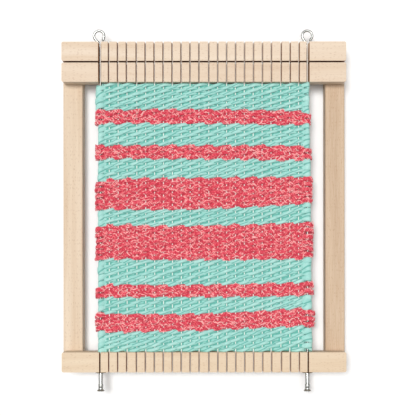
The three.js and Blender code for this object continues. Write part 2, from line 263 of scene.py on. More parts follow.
def yarn_mesh(name, tubes):
    """One mesh of several closed tubes, with its unrolled layout and each point's place along the yarn."""
    per_strip, strips = strip_layout(tubes)
    points, straights, tones, faces, layouts = [], [], [], [], []
    start = 0
    strip = 0
    for one in tubes:
        rings = one["rings"]
        count, sides = rings.shape[:2]
        ring = np.repeat(np.arange(count - 1), sides)
        side = np.tile(np.arange(sides), count - 1)
        after = (side + 1) % sides
        here = ring * sides
        ahead = here + sides
        corners = np.stack([here + side, here + after, ahead + after, ahead + side], 1)
        faces.extend((corners + start).tolist())
        row = ring // per_strip
        left = ring % per_strip / per_strip
        right = left + 1 / per_strip
        low = (strip + row + 0.04 + 0.92 * side / sides) / strips
        high = (strip + row + 0.04 + 0.92 * (side + 1) / sides) / strips
        layout = np.stack([left, low, left, high, right, high, right, low], 1)
        layouts.append(layout.reshape(-1, 2))
        last = start + (count - 1) * sides
        faces.append(list(range(start + sides - 1, start - 1, -1)))
        faces.append(list(range(last, last + sides)))
        round_end = 2 * math.pi * np.arange(sides) / sides
        small = np.stack([np.cos(round_end), np.sin(round_end)], 1) * 0.2 / strips
        layouts.append(small + (0.5 / strips, (strip + 0.5) / strips))
        layouts.append(small + (0.5 / strips, (strip + 0.5) / strips))
        points.append(rings.reshape(-1, 3))
        straights.append(one["straight"].reshape(-1, 3))
        tones.append(one["tone"].reshape(-1))
        start += count * sides
        strip += math.ceil((count - 1) / per_strip)
    mesh = bpy.data.meshes.new(name)
    mesh.from_pydata((np.concatenate(points) * MM).tolist(), [], faces)
    place = mesh.attributes.new("yarn_place", "FLOAT_VECTOR", "POINT")
    place.data.foreach_set("vector", (np.concatenate(straights) * MM).astype(np.float32).ravel())
    shade = mesh.attributes.new("yarn_tone", "FLOAT", "POINT")
    shade.data.foreach_set("value", np.concatenate(tones).astype(np.float32))
    layer = mesh.uv_layers.new(name="OFBake")
    layer.data.foreach_set("uv", np.concatenate(layouts).astype(np.float32).ravel())
    mesh.shade_smooth()
    mesh.update()
    return mesh


def turned_mesh(name, profile, x, z, sides, flute=0.0):
    """A turned piece round a line along Y. flute is how deep its knurl is cut, a flute to each four sides."""
    count = len(profile)
    angle = 2 * math.pi * np.arange(sides) / sides
    points = []
    for radius, y in profile:
        radii = radius - flute * (0.5 + 0.5 * np.cos(angle * sides / 4))
        ring = np.stack([x + radii * np.cos(angle), np.full(sides, y), z + radii * np.sin(angle)], 1)
        points.append(ring)
    faces = []
    for row in range(count):
        nxt = (row + 1) % count
        for side in range(sides):
            after = (side + 1) % sides
            faces.append([row * sides + side, row * sides + after, nxt * sides + after, nxt * sides + side])
    mesh = bpy.data.meshes.new(name)
    mesh.from_pydata((np.concatenate(points) * MM).tolist(), [], faces)
    mesh.shade_smooth()
    mesh.update()
    return mesh


def softened(profile, radius):
    """The profile with each corner cut back by about `radius` and eased with one more point."""
    eased = []
    count = len(profile)
    for index in range(count):
        before = np.array(profile[index - 1], float)
        here = np.array(profile[index], float)
        after = np.array(profile[(index + 1) % count], float)
        back = min(radius, np.linalg.norm(before - here) / 2.5)
        ahead = min(radius, np.linalg.norm(after - here) / 2.5)
        one = here + (before - here) / max(np.linalg.norm(before - here), 1e-9) * back
        two = here + (after - here) / max(np.linalg.norm(after - here), 1e-9) * ahead
        eased.append(tuple(one))
        eased.append(tuple((one + two) / 4 + here / 2))
        eased.append(tuple(two))
    return eased


def place_piece(name, mesh, material, body, stands_for=()):
    piece = bpy.data.objects.new(name, mesh)
    bpy.context.scene.collection.objects.link(piece)
    mesh.materials.append(material)
    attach(piece, body)
    if stands_for:
        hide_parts(*stands_for)
    return piece


# ---------------------------------------------------------------- finishes


def linear(red, green, blue):
    """A paint chart colour of 0 to 255 as light."""
    channels = [value / 255 for value in (red, green, blue)]
    return tuple(v / 12.92 if v <= 0.04045 else ((v + 0.055) / 1.055) ** 2.4 for v in channels) + (1.0,)


def add_node(tree, kind, inputs=None, **settings):
    made = tree.nodes.new(kind)
    for key, value in settings.items():
        setattr(made, key, value)
    for key, value in (inputs or {}).items():
        if isinstance(value, bpy.types.NodeSocket):
            tree.links.new(value, made.inputs[key])
        else:
            made.inputs[key].default_value = value
    return made


def maths(tree, operation, *values):
    return add_node(tree, "ShaderNodeMath", dict(enumerate(values)), operation=operation).outputs[0]


def scaled(tree, vector, factors):
    return add_node(tree, "ShaderNodeVectorMath", {0: vector, 1: factors}, operation="MULTIPLY").outputs[0]


def moved(tree, vector, offset):
    return add_node(tree, "ShaderNodeVectorMath", {0: vector, 1: offset}, operation="ADD").outputs[0]


def between(tree, value, low, high, to_low=0.0, to_high=1.0):
    inputs = {"Value": value, "From Min": low, "From Max": high, "To Min": to_low, "To Max": to_high}
    return add_node(tree, "ShaderNodeMapRange", inputs).outputs["Result"]


def mixed(tree, share, first, second):
    inputs = {0: share, 6: first, 7: second}
    return add_node(tree, "ShaderNodeMix", inputs, data_type="RGBA").outputs[2]


def switched(tree, share, first, second):
    inputs = {0: share, 2: first, 3: second}
    return add_node(tree, "ShaderNodeMix", inputs, data_type="FLOAT").outputs[0]


def noise(tree, vector, scale, detail=2.0, roughness=0.5):
    inputs = {"Vector": vector, "Scale": scale, "Detail": detail, "Roughness": roughness}
    return add_node(tree, "ShaderNodeTexNoise", inputs).outputs["Fac"]


def new_group(name, inputs, outputs):
    tree = bpy.data.node_groups.new(name, "ShaderNodeTree")
    for label, kind in inputs:
        tree.interface.new_socket(name=label, in_out="INPUT", socket_type=kind)
    for label, kind in outputs:
        tree.interface.new_socket(name=label, in_out="OUTPUT", socket_type=kind)
    return tree, tree.nodes.new("NodeGroupInput").outputs, tree.nodes.new("NodeGroupOutput").inputs


def beech_grain_group():
    """Beech with its grain along X: slow growth bands, fine fibre and short dark flecks."""
    tree, given, out = new_group(
        "beech_grain",
        [("Place", "NodeSocketVector"), ("Board", "NodeSocketFloat")],
        [
            ("Growth", "NodeSocketFloat"),
            ("Fibre", "NodeSocketFloat"),
            ("Fleck", "NodeSocketFloat"),
            ("Height", "NodeSocketFloat"),
        ],
    )
    board = add_node(tree, "ShaderNodeCombineXYZ", {0: given["Board"], 1: given["Board"], 2: given["Board"]})
    place = moved(tree, given["Place"], board.outputs[0])
    sway = noise(tree, scaled(tree, place, (9.0, 30.0, 30.0)), 1.0, 1.0)
    bend = add_node(tree, "ShaderNodeCombineXYZ", {1: maths(tree, "MULTIPLY", sway, 0.006)}).outputs[0]
    place = moved(tree, place, bend)
    growth = noise(tree, scaled(tree, place, (5.0, 130.0, 130.0)), 1.0, 3.0)
    fibre = noise(tree, scaled(tree, place, (45.0, 1900.0, 1900.0)), 1.0, 3.0, 0.65)
    cells = add_node(
        tree,
        "ShaderNodeTexVoronoi",
        {"Vector": scaled(tree, place, (300.0, 1500.0, 1500.0)), "Scale": 1.0},
    )
    dash = between(tree, cells.outputs["Distance"], 0.34, 0.16)
    picked = add_node(tree, "ShaderNodeSeparateColor", {0: cells.outputs["Color"]}).outputs[0]
    fleck = maths(tree, "MULTIPLY", dash, between(tree, picked, 0.45, 0.6))
    tree.links.new(between(tree, growth, 0.3, 0.7), out["Growth"])
    tree.links.new(between(tree, fibre, 0.3, 0.7), out["Fibre"])
    tree.links.new(fleck, out["Fleck"])
    tree.links.new(maths(tree, "SUBTRACT", fibre, maths(tree, "MULTIPLY", fleck, 0.5)), out["Height"])
    return tree


def edge_highlight_group():
    """Where rounded edges catch the light, for a painted highlight: 1 on an arris, 0 on a flat face."""
    tree, given, out = new_group(
        "edge_highlight",
        [("Width", "NodeSocketFloat"), ("Patch Size", "NodeSocketFloat")],
        [("Highlight", "NodeSocketFloat")],
    )
    eased = add_node(tree, "ShaderNodeBevel", {"Radius": given["Width"]}, samples=4).outputs[0]
    flat = add_node(tree, "ShaderNodeNewGeometry").outputs["Normal"]
    same = add_node(tree, "ShaderNodeVectorMath", {0: eased, 1: flat}, operation="DOT_PRODUCT")
    place = add_node(tree, "ShaderNodeTexCoord").outputs["Object"]
    patch = noise(tree, place, given["Patch Size"], 2.0)
    edge = between(tree, same.outputs["Value"], 0.995, 0.88)
    tree.links.new(maths(tree, "MULTIPLY", edge, between(tree, patch, 0.25, 0.65, 0.35, 1.0)), out["Highlight"])
    return tree


def fibre_nap_group():
    """Spun fibres that follow the yarn: fine streaks along it, soft patches of shade, and a nap height."""
    tree, given, out = new_group(
        "fibre_nap",
        [("Streak Count", "NodeSocketFloat"), ("Patch Count", "NodeSocketFloat")],
        [("Streak", "NodeSocketFloat"), ("Patch", "NodeSocketFloat"), ("Height", "NodeSocketFloat")],
    )
    place = add_node(tree, "ShaderNodeAttribute", attribute_name="yarn_place").outputs["Vector"]
    streak = noise(tree, scaled(tree, place, (0.16, 1.0, 1.0)), given["Streak Count"], 3.0, 0.6)
    patch = noise(tree, place, given["Patch Count"], 2.0)
    fuzz = noise(tree, scaled(tree, place, (0.5, 1.0, 1.0)), given["Streak Count"], 4.0, 0.8)
    tree.links.new(between(tree, streak, 0.3, 0.7), out["Streak"])
    tree.links.new(between(tree, patch, 0.3, 0.7), out["Patch"])
    tree.links.new(maths(tree, "ADD", streak, maths(tree, "MULTIPLY", fuzz, 0.6)), out["Height"])
    return tree


def polish_lines_group():
    """Fine drawn lines and handling marks in bare metal."""
    tree, given, out = new_group(
        "polish_lines",
        [("Stretch", "NodeSocketVector"), ("Count", "NodeSocketFloat")],
        [("Line", "NodeSocketFloat"), ("Smudge", "NodeSocketFloat")],
    )
    place = add_node(tree, "ShaderNodeTexCoord").outputs["Object"]
    stretched = add_node(tree, "ShaderNodeVectorMath", {0: place, 1: given["Stretch"]}, operation="MULTIPLY")
    line = noise(tree, stretched.outputs[0], given["Count"], 3.0, 0.7)
    smudge = noise(tree, place, 160.0, 3.0)
    tree.links.new(between(tree, line, 0.3, 0.7), out["Line"])
    tree.links.new(between(tree, smudge, 0.35, 0.7), out["Smudge"])
    return tree


def sawn_slot_and_gap_shade_group():
    """1 on the walls of a bar's slots, which the saw has browned and which take painted shade for the slots'
    depth, and 1 on the bar's lower side, where painted gap shade goes.
    """
    tree, given, out = new_group(
        "sawn_slot_and_gap_shade",
        [("Half Length", "NodeSocketFloat")],
        [("Wall", "NodeSocketFloat"), ("Gap Shade Side", "NodeSocketFloat")],
    )
    place = add_node(tree, "ShaderNodeTexCoord").outputs["Object"]
    facing = add_node(tree, "ShaderNodeNewGeometry").outputs["Normal"]
    along = maths(tree, "ABSOLUTE", add_node(tree, "ShaderNodeSeparateXYZ", {0: place}).outputs[0])
    ways = add_node(tree, "ShaderNodeSeparateXYZ", {0: facing}).outputs
    wall = between(tree, maths(tree, "ABSOLUTE", ways[0]), 0.7, 0.95)
    wall = maths(tree, "MULTIPLY", wall, maths(tree, "LESS_THAN", along, given["Half Length"]))
    tree.links.new(wall, out["Wall"])
    tree.links.new(between(tree, ways[1], -0.7, -0.95), out["Gap Shade Side"])
    return tree


GROUPS = {
    "beech_grain": beech_grain_group(),
    "edge_highlight": edge_highlight_group(),
    "sawn_slot_and_gap_shade": sawn_slot_and_gap_shade_group(),
    "fibre_nap": fibre_nap_group(),
    "polish_lines": polish_lines_group(),
}


def use_group(tree, name, inputs):
    made = tree.nodes.new("ShaderNodeGroup")
    made.node_tree = GROUPS[name]
    for key, value in inputs.items():
        if isinstance(value, bpy.types.NodeSocket):
            tree.links.new(value, made.inputs[key])
        else:
            made.inputs[key].default_value = value
    return made.outputs


def new_finish(name):
    material = bpy.data.materials.new(name)
    material.use_nodes = True
    tree = material.node_tree
    return material, tree, tree.nodes["Principled BSDF"]


def add_bump(tree, shader, strength, distance, height):
    bump = add_node(tree, "ShaderNodeBump", {"Strength": strength, "Distance": distance, "Height": height})
    tree.links.new(bump.outputs["Normal"], shader.inputs["Normal"])


def beech(name, light, dark, along_y, board, gap_shade_below):
    """Bare sanded beech, its grain along X, or along Y for an upright. A bar's slot walls are browned by the
    saw and by painted shade for their depth, and where a bar lies over the gap its lower side gets painted
    shade.
    """
    material, tree, shader = new_finish(name)
    place = add_node(tree, "ShaderNodeTexCoord").outputs["Object"]
    if along_y:
        parts = add_node(tree, "ShaderNodeSeparateXYZ", {0: place}).outputs
        place = add_node(tree, "ShaderNodeCombineXYZ", {0: parts[1], 1: parts[0], 2: parts[2]}).outputs[0]
    grain = use_group(tree, "beech_grain", {"Place": place, "Board": board})
    # Painted highlight: every arris is painted paler, in patches, for the light that its rounding catches.
    arris_highlight = use_group(tree, "edge_highlight", {"Width": 0.0007, "Patch Size": 220.0})["Highlight"]
    colour = mixed(tree, grain["Growth"], light, dark)
    pale_fibre = linear(236, 222, 202)
    fleck_brown = linear(150, 104, 68)
    arris_highlight_colour = linear(232, 214, 188)
    colour = mixed(tree, between(tree, grain["Fibre"], 0.0, 1.0, 0.0, 0.3), colour, pale_fibre)
    colour = mixed(tree, maths(tree, "MULTIPLY", grain["Fleck"], 0.42), colour, fleck_brown)
    colour = mixed(tree, maths(tree, "MULTIPLY", arris_highlight, 0.4), colour, arris_highlight_colour)
    if not along_y:
        # Slot walls: a brown that stands partly for the saw's browning and partly for painted shade deep in
        # the slots.
        slot_brown_and_shade = linear(216, 164, 110)
        gap_shade_brown = linear(120, 64, 34)
        sawn_and_shade_masks = use_group(tree, "sawn_slot_and_gap_shade", {"Half Length": SLOTS_END * MM})
        colour = mixed(tree, maths(tree, "MULTIPLY", sawn_and_shade_masks["Wall"], 0.9), colour, slot_brown_and_shade)
        # Painted shade: the lower side over the narrow dark gap between the top bars is painted dark brown.
        if gap_shade_below:
            colour = mixed(tree, maths(tree, "MULTIPLY", sawn_and_shade_masks["Gap Shade Side"], 0.9), colour, gap_shade_brown)
    tree.links.new(colour, shader.inputs["Base Color"])
    tree.links.new(between(tree, grain["Fibre"], 0.0, 1.0, 0.5, 0.64), shader.inputs["Roughness"])
    add_bump(tree, shader, 0.35, 0.00012, grain["Height"])
    shader.inputs["Specular IOR Level"].default_value = 0.35
    return material


def bare_metal(name, colour, dull, rough, stretch, count):
    """Metal of one colour, duller where it is handled. stretch and count shape its fine lines."""
    material, tree, shader = new_finish(name)
    marks = use_group(tree, "polish_lines", {"Stretch": stretch, "Count": count})
    shown = mixed(tree, maths(tree, "MULTIPLY", marks["Smudge"], 0.35), colour, dull)
    tree.links.new(shown, shader.inputs["Base Color"])
    along_lines = between(tree, marks["Line"], 0.0, 1.0, rough[0], rough[1])
    roughness = maths(tree, "ADD", along_lines, maths(tree, "MULTIPLY", marks["Smudge"], 0.06))
    tree.links.new(roughness, shader.inputs["Roughness"])
    add_bump(tree, shader, 0.04, 0.00001, marks["Line"])
    shader.inputs["Metallic"].default_value = 1.0
    return material


def cotton_thread():
    """Tightly plied white cotton."""
    material, tree, shader = new_finish("cotton_thread")
    nap = use_group(tree, "fibre_nap", {"Streak Count": 5200.0, "Patch Count": 300.0})
    colour = mixed(tree, nap["Streak"], linear(226, 222, 212), linear(255, 254, 250))
    tree.links.new(colour, shader.inputs["Base Color"])
    tree.links.new(between(tree, nap["Streak"], 0.0, 1.0, 0.95, 0.8), shader.inputs["Roughness"])
    place = add_node(tree, "ShaderNodeAttribute", attribute_name="yarn_place").outputs["Vector"]
    waves = {"Vector": place, "Scale": 420.0, "Distortion": 0.4}
    ply = add_node(tree, "ShaderNodeTexWave", waves, bands_direction="DIAGONAL").outputs["Fac"]
    height = maths(tree, "ADD", ply, maths(tree, "MULTIPLY", nap["Height"], 0.4))
    add_bump(tree, shader, 0.7, 0.00015, height)
    shader.inputs["Sheen Weight"].default_value = 0.2
    return material


def teal_yarn():
    """Soft teal two-ply, with painted shade in the valley between its plies."""
    material, tree, shader = new_finish("teal_yarn")
    nap = use_group(tree, "fibre_nap", {"Streak Count": 2300.0, "Patch Count": 140.0})
    tone = add_node(tree, "ShaderNodeAttribute", attribute_name="yarn_tone").outputs["Fac"]
    share = maths(tree, "MULTIPLY", nap["Streak"], 0.55)
    share = maths(tree, "ADD", share, maths(tree, "MULTIPLY", tone, 0.3))
    share = maths(tree, "ADD", share, maths(tree, "MULTIPLY", nap["Patch"], 0.25))
    place = add_node(tree, "ShaderNodeAttribute", attribute_name="yarn_place").outputs["Vector"]
    across = scaled(tree, place, (0.0, 1.0, 1.0))
    girth = add_node(tree, "ShaderNodeVectorMath", {0: across}, operation="NORMALIZE")
    sideways = add_node(tree, "ShaderNodeSeparateXYZ", {0: girth.outputs[0]}).outputs[1]
    ply = between(tree, maths(tree, "ABSOLUTE", sideways), 0.0, 0.45)
    colour = mixed(tree, share, linear(124, 198, 188), linear(190, 230, 222))
    # Painted shade: the yarn is darkened in the valley between its two plies.
    colour = mixed(tree, ply, linear(84, 166, 154), colour)
    tree.links.new(colour, shader.inputs["Base Color"])
    tree.links.new(between(tree, nap["Streak"], 0.0, 1.0, 0.92, 0.75), shader.inputs["Roughness"])
    height = maths(tree, "ADD", nap["Height"], maths(tree, "MULTIPLY", ply, 1.6))
    add_bump(tree, shader, 0.75, 0.0002, height)
    shader.inputs["Sheen Weight"].default_value = 0.3
    shader.inputs["Sheen Roughness"].default_value = 0.5
    shader.inputs["Sheen Tint"].default_value = linear(200, 245, 236)
    return material


def coral_yarn():
    """Curly coral yarn: deep red inside, coral on its strands and pale pink at their tops, the deep red
    painted shade and the pale pink painted highlight over the yarn's own mix of redder and paler strands.
    """
    material, tree, shader = new_finish("coral_yarn")
    nap = use_group(tree, "fibre_nap", {"Streak Count": 2600.0, "Patch Count": 900.0})
    tone = add_node(tree, "ShaderNodeAttribute", attribute_name="yarn_tone").outputs["Fac"]
    share = maths(tree, "ADD", tone, between(tree, nap["Patch"], 0.0, 1.0, -0.42, 0.42))
    share = maths(tree, "ADD", share, between(tree, nap["Streak"], 0.0, 1.0, -0.12, 0.12))
    inner = mixed(tree, between(tree, share, 0.0, 0.5), linear(196, 34, 60), linear(232, 90, 106))
    colour = mixed(tree, between(tree, share, 0.5, 1.0), inner, linear(252, 196, 192))
    tree.links.new(colour, shader.inputs["Base Color"])
    tree.links.new(between(tree, nap["Streak"], 0.0, 1.0, 0.95, 0.8), shader.inputs["Roughness"])
    add_bump(tree, shader, 0.6, 0.00015, nap["Height"])
    shader.inputs["Sheen Weight"].default_value = 0.3
    shader.inputs["Sheen Roughness"].default_value = 0.5
    shader.inputs["Sheen Tint"].default_value = linear(255, 200, 200)
    return material


def packed_ground():
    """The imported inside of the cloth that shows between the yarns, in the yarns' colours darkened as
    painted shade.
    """
    material, tree, shader = new_finish("packed_ground")
    tone = add_node(tree, "ShaderNodeAttribute", attribute_name="yarn_tone").outputs["Fac"]
    place = add_node(tree, "ShaderNodeTexCoord").outputs["Object"]
    fuzz = noise(tree, place, 1500.0, 3.0, 0.7)
    # Painted shade: teal and coral darker than the yarns themselves, for the shade between the picks.
    teal = mixed(tree, fuzz, linear(78, 158, 146), linear(122, 194, 182))
    coral = mixed(tree, fuzz, linear(176, 32, 56), linear(220, 80, 98))
    tree.links.new(mixed(tree, tone, teal, coral), shader.inputs["Base Color"])
    add_bump(tree, shader, 0.8, 0.0003, fuzz)
    shader.inputs["Roughness"].default_value = 0.95
    return material


# ---------------------------------------------------------------- camera, table and light


def set_camera():
    data = bpy.data.cameras.new("overhead_camera")
    data.lens = 96.3
    data.sensor_width = 36.0
    data.shift_x = 0.0024
    data.shift_y = 0.0812
    data.clip_start = 0.01
    data.clip_end = 20.0
    camera = bpy.data.objects.new("overhead_camera", data)
    camera.location = (0.0027, -0.0279, 1.018)
    camera.rotation_euler = (0.0, 0.0, math.radians(-0.04))
    bpy.context.scene.collection.objects.link(camera)
    bpy.context.scene.camera = camera


def set_table():
    mesh = bpy.data.meshes.new("white_table")
    half = 4.0
    corners = [(-half, -half, 0), (half, -half, 0), (half, half, 0), (-half, half, 0)]
    mesh.from_pydata(corners, [], [(0, 1, 2, 3)])
    table = bpy.data.objects.new("white_table", mesh)
    table.location = (0.0, 0.0, -0.0002)
    bpy.context.scene.collection.objects.link(table)
    material, tree, shader = new_finish("white_table_top")
    shader.inputs["Base Color"].default_value = (0.9, 0.9, 0.9, 1.0)
    shader.inputs["Roughness"].default_value = 0.9
    shader.inputs["Specular IOR Level"].default_value = 0.0
    mesh.materials.append(material)


def add_lamp(name, come_from, spread, strength):
    """A broad, far lamp that lights the whole table evenly. spread is how wide it looks, in degrees."""
    data = bpy.data.lights.new(name, "SUN")
    data.angle = math.radians(spread)
    data.energy = strength
    light = bpy.data.objects.new(name, data)
    flat = math.hypot(come_from[0], come_from[1])
    light.rotation_euler = (math.atan2(flat, come_from[2]), 0.0, math.atan2(come_from[0], -come_from[1]))
    light.location = come_from
    bpy.context.scene.collection.objects.link(light)


def set_room():
    """A soft pale room, brighter in the steel, and seen by the camera as an even pale backdrop."""
    world = bpy.data.worlds.new("studio_room")
    bpy.context.scene.world = world
    world.use_nodes = True
    tree = world.node_tree
    back = tree.nodes["Background"]
    way = add_node(tree, "ShaderNodeTexCoord").outputs["Generated"]
    up = add_node(tree, "ShaderNodeSeparateXYZ", {0: way}).outputs[2]
    ray = add_node(tree, "ShaderNodeLightPath").outputs
    level = between(tree, up, 0.0, 0.8, WALL_LIGHT, CEILING_LIGHT)
    level = switched(tree, ray["Is Glossy Ray"], level, STEEL_LIGHT)
    level = switched(tree, ray["Is Camera Ray"], level, BACKDROP_LIGHT)
    back.inputs["Color"].default_value = (1.0, 1.0, 1.0, 1.0)
    tree.links.new(level, back.inputs["Strength"])
    add_lamp("overhead_light", (0.0, 0.02, 1.0), 22.0, 1.16)
    add_lamp("key_light", (-0.17, 0.14, 1.0), 14.0, 1.76)
    bpy.context.scene.view_settings.view_transform = "Standard"


set_camera()
set_table()
set_room()


# ---------------------------------------------------------------- timber frame


# Each board's lighter and darker wood, whether its grain runs along Y, and the shift of its grain
BOARDS = {
    "upper_top_bar": (linear(222, 202, 180), linear(208, 182, 154), False, 0.137),
    "lower_top_bar": (linear(219, 198, 175), linear(205, 178, 150), False, 0.411),
    "bottom_bar": (linear(218, 196, 167), linear(203, 174, 140), False, 0.763),
    "left_upright": (linear(218, 197, 172), linear(200, 172, 141), True, 1.219),
    "right_upright": (linear(197, 168, 137), linear(178, 145, 113), True, 1.573),
}


def finish_timber():
    for name, (light, dark, along_y, board) in BOARDS.items():
        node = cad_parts[name]
        material = beech("beech_" + name, light, dark, along_y, board, name == "upper_top_bar")
        node.data.materials.clear()
        node.data.materials.append(material)


def finish_screws():
    colours = linear(208, 204, 190), linear(150, 146, 132)
    zinc = bare_metal("zinc_screw", *colours, (0.3, 0.45), (1.0, 1.0, 1.0), 900.0)
    for name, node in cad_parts.items():
        if name.endswith("_screw"):
            node.data.materials.clear()
            node.data.materials.append(zinc)


# ---------------------------------------------------------------- edge rods and their sockets


def rod_line(x, eye_x, low, high):
    """The middle of the wire: up the shank, round the eye and back down beside the neck."""
    centre = high - ROD_RADIUS - EYE_RADIUS
    neck = centre - EYE_TO_NECK
    half_angle = math.asin(EYE_RADIUS / (centre - neck))
    start = math.pi + half_angle
    end = -half_angle * 0.55
    shank = [(x, y) for y in np.linspace(low, neck - NECK_LENGTH, SHANK_POINTS)]
    angles = np.linspace(start - 0.05, end, 90)
    eye = [(eye_x + EYE_RADIUS * math.cos(a), centre + EYE_RADIUS * math.sin(a)) for a in angles]
    tail_way = np.array([x + WIRE_END[0], neck + WIRE_END[1]]) - np.array(eye[-1])
    tail = [tuple(np.array(eye[-1]) + tail_way * share) for share in np.linspace(0.1, 1, 10)]
    flat = np.array(shank + eye + tail)
    at = lengths_along(np.column_stack([flat, np.zeros(len(flat))]))
    bend = at[SHANK_POINTS - 1]
    even = np.concatenate([np.linspace(0, bend, SHANK_POINTS)[:-1], np.arange(bend, at[-1], WIRE_STEP)])
    points = np.column_stack([np.interp(even, at, flat[:, 0]), np.interp(even, at, flat[:, 1])])
    for _ in range(WIRE_EASING):
        points[1:-1] = points[1:-1] * 0.5 + (points[:-2] + points[2:]) * 0.25
    return np.column_stack([points, np.full(len(points), ROD_Z)])


def make_rods(steel):
    for side, x in (("left", -ROD_X), ("right", ROD_X)):
        low, high = box_mm(side + "_edge_rod")
        points = rod_line(x, (low[0] + high[0]) / 2, low[1], high[1])
        along = lengths_along(points)
        near_end = np.minimum(along, along[-1] - along)
        eased = np.sqrt(np.clip(1 - (1 - np.clip(near_end / ROD_END_EASE, 0, 1)) ** 2, 0.02, 1))
        radius = ROD_RADIUS * (0.35 + 0.65 * eased)
        across = square_to(points, (0, 0, 1))
        rings = tube(points, across, radius, radius, ROD_SIDES)
        mesh = yarn_mesh(side + "_rod_wire", [rings])
        place_piece(side + "_rod_wire", mesh, steel, side + "_rod", [side + "_edge_rod"])


def keen_edges(piece):
    split = piece.modifiers.new("keen_edges", "EDGE_SPLIT")
    split.split_angle = math.radians(38)


def pin_profile(head, bottom, top):
    """The pin from the middle of its head's dome, out and up its outside, and back down its bore."""
    neck = PIN_RADIUS + COLLAR_STEP
    collar_low = bottom + HEAD_RIM + HEAD_FLARE
    collar_high = collar_low + COLLAR_LENGTH
    angles = np.linspace(0.02, math.pi / 2, 9)
    dome = [(head * math.sin(a), bottom + HEAD_DOME * (1 - math.cos(a))) for a in angles]
    flare = [
        (neck + (head - neck) * (1 - share) ** 2.6, bottom + HEAD_RIM + HEAD_FLARE * share)
        for share in np.linspace(0, 1, 9)
    ]
    shank = [
        (PIN_RADIUS - COLLAR_SEAT, collar_low + 0.1),
        (PIN_RADIUS - COLLAR_SEAT, collar_high + 0.35),
        (PIN_RADIUS, collar_high + 0.5),
        (PIN_RADIUS, top - 0.3),
        (PIN_RADIUS - 0.2, top),
        (BORE_MOUTH, top),
        (BORE_RADIUS, top - 0.1),
        (BORE_RADIUS, bottom + BORE_END),
        (0.02, bottom + BORE_END),
    ]
    return dome + flare + shank


def collar_profile(bottom):
    """The knurled ring, sunk a little into its seat on the pin."""
    low = bottom + HEAD_RIM + HEAD_FLARE
    high = low + COLLAR_LENGTH
    inner = PIN_RADIUS - 0.2
    outer = PIN_RADIUS + COLLAR_STEP
    return softened([(inner, low + 0.02), (outer, low + 0.02), (outer, high), (inner, high)], 0.1)


def make_sleeves(steel, knurled):
    for side in ("left", "right"):
        low, high = box_mm(side + "_rod_sleeve")
        x = (low[0] + high[0]) / 2
        head = (high[0] - low[0]) / 2
        mesh = turned_mesh(side + "_sleeve_pin", pin_profile(head, low[1], high[1]), x, ROD_Z, PIN_SIDES)
        body = side + "_sleeve"
        keen_edges(place_piece(side + "_sleeve_pin", mesh, steel, body, [side + "_rod_sleeve"]))
        ring = collar_profile(low[1])
        mesh = turned_mesh(side + "_sleeve_collar", ring, x, ROD_Z, COLLAR_SIDES, COLLAR_FLUTE)
        keen_edges(place_piece(side + "_sleeve_collar", mesh, knurled, body))


def make_inserts(oxide):
    for side in ("left", "right"):
        low, high = box_mm(side + "_sleeve_insert")
        x = (low[0] + high[0]) / 2
        flange = (high[0] - low[0]) / 2
        under = low[1]
        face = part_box("bottom_bar")[0].y / MM
        profile = [
            (BARREL_BORE, under),
            (LIP_INNER, under),
            (LIP_OUTER, under + LIP_HEIGHT),
            (flange, under + LIP_HEIGHT),
            (flange, face),
            (BARREL_RADIUS, face),
            (BARREL_RADIUS, high[1]),
            (BARREL_BORE, high[1]),
        ]
        mesh = turned_mesh(side + "_insert", softened(profile, 0.12), x, ROD_Z, INSERT_SIDES)
        place_piece(side + "_insert", mesh, oxide, "loom", [side + "_sleeve_insert"])


# ---------------------------------------------------------------- warp


def thread_line():
    """One thread, up the even slots and down the odd ones, round the teeth of the outer bars."""
    top = THREAD_HIGH[1] - FRAME_THREAD_RADIUS
    bottom = THREAD_LOW[1] + FRAME_THREAD_RADIUS
    cloth_high = STRIPE_BOXES[0][1][1]
    cloth_low = STRIPE_BOXES[-1][0][1]
    tail = cloth_low + THREAD_TAIL
    inside = np.arange(cloth_low + 1, cloth_high - 1, 2.0)
    above = np.arange(cloth_high - 1, top - THREAD_BEND, 0.6)
    below = np.arange(bottom + THREAD_BEND, cloth_low + 1, 0.6)
    points = []
    for index, x in enumerate(SLOTS):
        heights = np.concatenate([below, inside, above])
        if index in (0, SLOT_COUNT - 1):
            heights = heights[heights > tail]
        if index % 2:
            heights = heights[::-1]
        points.extend((x, y) for y in heights)
        if index == SLOT_COUNT - 1:
            break
        outwards = 1 if index % 2 == 0 else -1
        edge = top if outwards > 0 else bottom
        angles = np.linspace(0, math.pi / 2, 5)
        shifts = THREAD_BEND * (1 - np.cos(angles))
        heights = edge - outwards * THREAD_BEND * (1 - np.sin(angles))
        points.extend(zip(x + shifts, heights))
        for across in np.linspace(x + THREAD_BEND, SLOTS[index + 1] - THREAD_BEND, 9)[1:-1]:
            points.append((across, edge))
        points.extend(zip((SLOTS[index + 1] - shifts)[::-1], heights[::-1]))
    points = np.array(points)
    keep = np.concatenate([[True], np.linalg.norm(np.diff(points, axis=0), axis=1) > 0.05])
    points = points[keep]
    return np.column_stack([points, np.full(len(points), WARP_Z)])


def make_warp(cotton):
    points = thread_line()
    across = square_to(points, (0, 0, 1))
    rings = tube(points, across, THREAD_RADIUS, THREAD_RADIUS, THREAD_SIDES)
    mesh = yarn_mesh("cotton_warp", [rings])
    place_piece("cotton_warp", mesh, cotton, "loom", ["warp_thread"])


# ---------------------------------------------------------------- weft


def seam_height(index, x):
    """Height of a seam at x. Seam 0 is the cloth's top edge and the last one its bottom edge."""
    if index == 0:
        level = STRIPE_BOXES[0][1][1]
    elif index == len(STRIPES):
        level = STRIPE_BOXES[-1][0][1]
    else:
        level = (STRIPE_BOXES[index - 1][0][1] + STRIPE_BOXES[index][1][1]) / 2
    left, middle, right = SEAM_DRIFT[index]
    at = np.asarray(x) / ROD_X
    return level + middle * (1 - at * at) + left * at * (at - 1) / 2 + right * at * (at + 1) / 2


